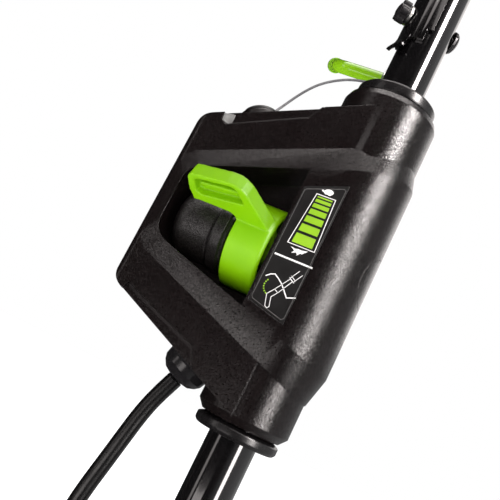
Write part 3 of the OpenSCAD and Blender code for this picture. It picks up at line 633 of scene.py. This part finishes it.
def strokes(points, width, closed=False):
    """Quads of the given width that follow a line of points, with mitred corners."""
    pts = [Vector(p) for p in points]
    count = len(pts)
    sides = []
    for i, p in enumerate(pts):
        before = pts[i - 1] if (i or closed) else None
        after = pts[(i + 1) % count] if (i < count - 1 or closed) else None
        a = (p - before).normalized() if before is not None else (after - p).normalized()
        b = (after - p).normalized() if after is not None else a
        along = (a + b).normalized()
        side = Vector((-along.y, along.x))
        grow = 1 / max(MITRE_FLOOR, side.dot(Vector((-a.y, a.x))))
        sides.append(side * width / 2 * grow)
    out = []
    last = count if closed else count - 1
    for i in range(last):
        j = (i + 1) % count
        out.append([
            tuple(pts[i] + sides[i]), tuple(pts[j] + sides[j]),
            tuple(pts[j] - sides[j]), tuple(pts[i] - sides[i]),
        ])
    return out


def between(a, b, t):
    """The point a part t of the way from a to b."""
    return (a[0] + (b[0] - a[0]) * t, a[1] + (b[1] - a[1]) * t)


def make_label():
    """The gauge with its bars and marks, the rim, the divider and the handle diagram."""
    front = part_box("label_plate")[0][1]
    top_left, top_right, low_right, low_left = GAUGE
    near, far = BAR_SIDES
    bars = []
    for start, end in BAR_SPANS:
        corners = []
        for t, first, second in ((start, near, far), (end, far, near)):
            left, right = between(top_left, low_left, t), between(top_right, low_right, t)
            corners += [between(left, right, first), between(left, right, second)]
        bars.append(corners)
    printed("gauge_bars", bars, "print_green", front)
    gauge = strokes(GAUGE, GAUGE_LINE, True)
    printed("gauge_marks", gauge + [SLOW_MARK, FAST_MARK], "print_white", front)
    printed("divider", strokes(DIVIDER, DIVIDER_LINE), "print_white", front)
    printed("label_rim", strokes(RIM, RIM_LINE, True), "print_line", front)
    drawn = [quad for line, width in DRAWING for quad in strokes(line, width)]
    printed("handle_drawing", drawn, "print_white", front)
    dashes = []
    for k in range(ARC_DASHES):
        start = ARC_START + k * ARC_STEP
        ends = [
            (ARC_CENTRE[0] + ARC_R * math.cos(a), ARC_CENTRE[1] + ARC_R * math.sin(a))
            for a in (math.radians(start), math.radians(start + ARC_DASH))
        ]
        dashes += strokes(ends, ARC_LINE)
    printed("drawing_arc", dashes, "print_green", front)


make_label()


# ---- slopes of the wing's stepped edges, lighter as painted light ----------------------------

STEP_DEPTH = 0.002
FACE_Y = -0.026
SLOPE_ROUND = 0.0002
SLOPE_ROUND_SEGMENTS = 2
SLOPE_SHARP = 0.7  # radians; edges sharper than this are rounded


def make_step_slope(name, line, level=0.0, finish="step_edge"):
    """A slope that fills the corner of a stepped edge: (x, height, x run, height run) in mm.

    level is how far along x the piece stays flush with the face before it slopes."""
    bm = bmesh.new()
    rings = []
    for x, h, dx, dh in line:
        ring = [
            bm.verts.new((x * MM, FACE_Y, h * MM + HOUSING_Z)),
            bm.verts.new((x * MM, FACE_Y + STEP_DEPTH, h * MM + HOUSING_Z)),
            bm.verts.new(((x + dx) * MM, FACE_Y + STEP_DEPTH, (h + dh) * MM + HOUSING_Z)),
        ]
        if level:
            ring.append(bm.verts.new(((x + level) * MM, FACE_Y, h * MM + HOUSING_Z)))
        rings.append(ring)
    for a, b in zip(rings, rings[1:]):
        for i in range(len(a)):
            j = (i + 1) % len(a)
            bm.faces.new((a[i], a[j], b[j], b[i]))
    bm.faces.new(rings[0])
    bm.faces.new(list(reversed(rings[-1])))
    bmesh.ops.recalc_face_normals(bm, faces=bm.faces)
    bmesh.ops.bevel(
        bm, geom=[e for e in bm.edges if e.calc_face_angle(0.0) > SLOPE_SHARP],
        offset=SLOPE_ROUND, segments=SLOPE_ROUND_SEGMENTS, affect="EDGES",
    )
    mesh = bpy.data.meshes.new(name)
    bm.to_mesh(mesh)
    bm.free()
    place(name, mesh, finish, "housing")


make_step_slope("upper_step_slope", [
    (-75.4, 143.2, 0.9, 1.8), (-72, 141.4, 0, 2), (-32.4, 160.6, -1.3, 1.5), (-27.2, 169, -1.7, 1),
])
# the end of the upper step takes the patch finish, which is painted glare
make_step_slope(
    "upper_step_end", [(-75.3, 143.2, 5.4, -1.2), (-75.9, 147.4, 5.8, 1.8)], level=1.2,
    finish="patch",
)
make_step_slope("lower_step_slope", [
    (-77.6, 44.2, -0.6, -1.9), (-70, 41.4, -0.6, -1.9), (-32, 29.4, -1.4, -1.6),
    (-28.2, 21.8, -1.8, -0.9),
])


# ---- button spring ---------------------------------------------------------------------------

BUTTON_PLACE = (-0.062, -0.006, HOUSING_Z + 0.15408)  # on the wing's sloping top
BUTTON_OUT = Vector((-0.402, 0, 0.916)).normalized()
SPRING_FOOT = 0.0016  # above the wing's top
SPRING_TALL = 0.0056
SPRING_R = 0.0060
SPRING_WIRE = 0.0007
SPRING_TURNS = 3.5
SPRING_STEPS = 120
WIRE_SIDES = 8


def make_button_spring():
    """The coil under the button's cap."""
    foot = Vector(BUTTON_PLACE) + BUTTON_OUT * SPRING_FOOT
    side = Vector((0, 1, 0))
    across = BUTTON_OUT.cross(side)
    rise = SPRING_TALL - SPRING_WIRE
    points = []
    for k in range(SPRING_STEPS + 1):
        turn = 2 * math.pi * SPRING_TURNS * k / SPRING_STEPS
        points.append(
            foot + BUTTON_OUT * (SPRING_WIRE / 2 + rise * k / SPRING_STEPS)
            + (side * math.cos(turn) + across * math.sin(turn)) * SPRING_R
        )
    bm = bmesh.new()
    rings = []
    for i, p in enumerate(points):
        along = (points[min(i + 1, SPRING_STEPS)] - points[max(i - 1, 0)]).normalized()
        a = along.cross(BUTTON_OUT).normalized()
        b = along.cross(a)
        rings.append([
            bm.verts.new(p + (a * math.cos(t) + b * math.sin(t)) * SPRING_WIRE / 2)
            for t in (2 * math.pi * k / WIRE_SIDES for k in range(WIRE_SIDES))
        ])
    for low, high in zip(rings, rings[1:]):
        for k in range(WIRE_SIDES):
            j = (k + 1) % WIRE_SIDES
            bm.faces.new((low[k], low[j], high[j], high[k]))
    bm.faces.new(rings[0])
    bm.faces.new(list(reversed(rings[-1])))
    bmesh.ops.recalc_face_normals(bm, faces=bm.faces)
    mesh = bpy.data.meshes.new("coil")
    bm.to_mesh(mesh)
    bm.free()
    mesh.shade_smooth()
    spring = place("coil", mesh, "steel", "housing")
    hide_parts("button_spring")
    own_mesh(spring)


make_button_spring()


# ---- studio --------------------------------------------------------------------------------

LIGHT_TONE = (1.0, 0.94, 0.92)
LIGHT_TARGET = Vector((0, 0, HOUSING_Z + 0.09))
# name, azimuth and elevation in degrees, distance, width, height, power, and where it shows:
# in matt shading, in gloss, or in both
LIGHTS = [
    ("key", 56, 12, 1.5, 1.15, 1.7, 9, "matt"),
    ("key_gloss", 59, 12, 1.5, 0.42, 1.7, 36, "gloss"),
    ("key_high", 59, 36, 1.5, 0.42, 0.5, 24, "gloss"),
    ("overhead", -20, 84, 1.3, 1.2, 0.8, 10, "gloss"),
    ("front_top", -18, 64, 1.5, 1.6, 1.3, 12, "both"),
    ("front_low", -18, -24, 0.8, 0.5, 0.2, 1.0, "gloss"),
    ("fill", 5, 10, 1.8, 1.5, 1.5, 14, "matt"),
    ("front_left", -50, 8, 1.6, 0.32, 1.3, 2.2, "both"),
    ("rear", 165, 30, 1.8, 1.6, 1.6, 10, "both"),
]
TENT_DARK, TENT_BRIGHT = 0.02, 0.42
TENT_DIRECTION = Vector((-0.95, -0.3, 0.0))  # the tent is dark on this side
TENT_REACH = -0.7  # against that direction, where the tent is at its brightest
WHITE = (1, 1, 1, 1)
FLOOR_R = 6.0
FLOOR_DROP = 0.0005
FLOOR_COLOUR = (0.9, 0.9, 0.9, 1)
FLOOR_GLOW = 1.2


def area_light(name, azimuth, elevation, distance, width, height, power, seen):
    """A softbox aimed at the housing; azimuth turns from straight ahead (-Y) towards +X."""
    data = bpy.data.lights.new(name, "AREA")
    data.shape = "RECTANGLE"
    data.size, data.size_y = width, height
    data.energy = power
    data.color = LIGHT_TONE
    lamp = bpy.data.objects.new(name, data)
    a, e = math.radians(azimuth), math.radians(elevation)
    away = Vector((math.sin(a) * math.cos(e), -math.cos(a) * math.cos(e), math.sin(e)))
    lamp.location = LIGHT_TARGET + away * distance
    lamp.rotation_euler = (-away).to_track_quat("-Z", "Y").to_euler()
    lamp.visible_diffuse = seen != "gloss"
    lamp.visible_glossy = seen != "matt"
    scene.collection.objects.link(lamp)


def make_world():
    """A soft tent, brighter on the right, behind a white backdrop."""
    world = bpy.data.worlds.new("studio")
    scene.world = world
    world.use_nodes = True
    tree = world.node_tree
    tree.nodes.clear()
    out = tree.nodes.new("ShaderNodeOutputWorld")
    coords = tree.nodes.new("ShaderNodeTexCoord")
    dot = tree.nodes.new("ShaderNodeVectorMath")
    dot.operation = "DOT_PRODUCT"
    dot.inputs[1].default_value = TENT_DIRECTION.normalized()
    tree.links.new(coords.outputs["Generated"], dot.inputs[0])
    ramp = tree.nodes.new("ShaderNodeMapRange")
    ramp.interpolation_type = "SMOOTHSTEP"
    ramp.inputs["From Min"].default_value = 0.0
    ramp.inputs["From Max"].default_value = TENT_REACH
    ramp.inputs["To Min"].default_value = TENT_DARK
    ramp.inputs["To Max"].default_value = TENT_BRIGHT
    tree.links.new(dot.outputs["Value"], ramp.inputs["Value"])
    tent = tree.nodes.new("ShaderNodeBackground")
    tree.links.new(ramp.outputs["Result"], tent.inputs["Strength"])
    white = tree.nodes.new("ShaderNodeBackground")
    white.inputs["Strength"].default_value = 1.0
    for node in (tent, white):
        node.inputs["Color"].default_value = WHITE
    path = tree.nodes.new("ShaderNodeLightPath")
    mix = tree.nodes.new("ShaderNodeMixShader")
    tree.links.new(path.outputs["Is Camera Ray"], mix.inputs[0])
    tree.links.new(tent.outputs[0], mix.inputs[1])
    tree.links.new(white.outputs[0], mix.inputs[2])
    tree.links.new(mix.outputs[0], out.inputs[0])


def make_floor():
    """A plain pale disc just under the part."""
    lowest = cad_box[0][2]
    bm = bmesh.new()
    bmesh.ops.create_circle(bm, cap_ends=True, segments=96, radius=FLOOR_R)
    mesh = bpy.data.meshes.new("floor")
    bm.to_mesh(mesh)
    bm.free()
    floor = bpy.data.objects.new("floor", mesh)
    floor.location = (0, 0, lowest - FLOOR_DROP)
    scene.collection.objects.link(floor)
    n = Nodes("pale_floor")
    n.set(
        Roughness=0.7, Specular_IOR_Level=0.2, Base_Color=FLOOR_COLOUR, Emission_Color=WHITE,
        Emission_Strength=FLOOR_GLOW,
    )
    mesh.materials.append(n.material)
    floor.visible_glossy = False


make_world()
make_floor()
for light in LIGHTS:
    area_light(*light)
scene.view_settings.view_transform = "Standard"
scene.view_settings.look = "None"
